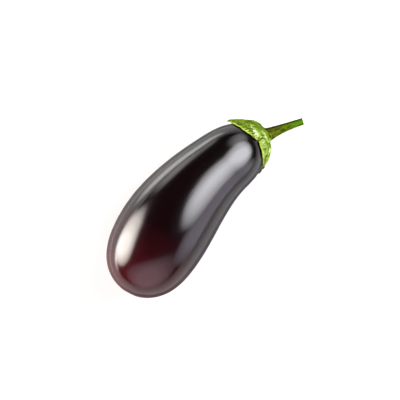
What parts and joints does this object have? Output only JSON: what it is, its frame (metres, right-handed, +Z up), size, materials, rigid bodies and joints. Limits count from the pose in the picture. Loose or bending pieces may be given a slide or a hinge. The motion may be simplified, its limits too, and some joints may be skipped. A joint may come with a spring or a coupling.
{
  "type": "eggplant",
  "caption": "Purple-black eggplant lying on its side: a glossy club-shaped bent fruit with a green calyx of pointed sepals and a cut green stem.",
  "frame": {"origin": "on the surface that the eggplant lies on, under the middle of its bounding box", "axes": "+X towards the stem along the fruit, +Y towards the outer side of its bend, +Z up"},
  "size_m": [0.2468, 0.0982, 0.0937],
  "materials": {
    "skin": "smooth waxy purple-black skin with a mild gloss and a maroon tinge at the blossom end",
    "calyx": "leathery yellow-green sepals, mottled olive, with pale cut edges",
    "stem": "ridged green stalk, olive at its foot, with a pale fibrous cut face"
  },
  "bodies": {
    "root": {"fruit": "skin", "calyx": "calyx", "stem": "stem"}
  },
  "joints": []
}
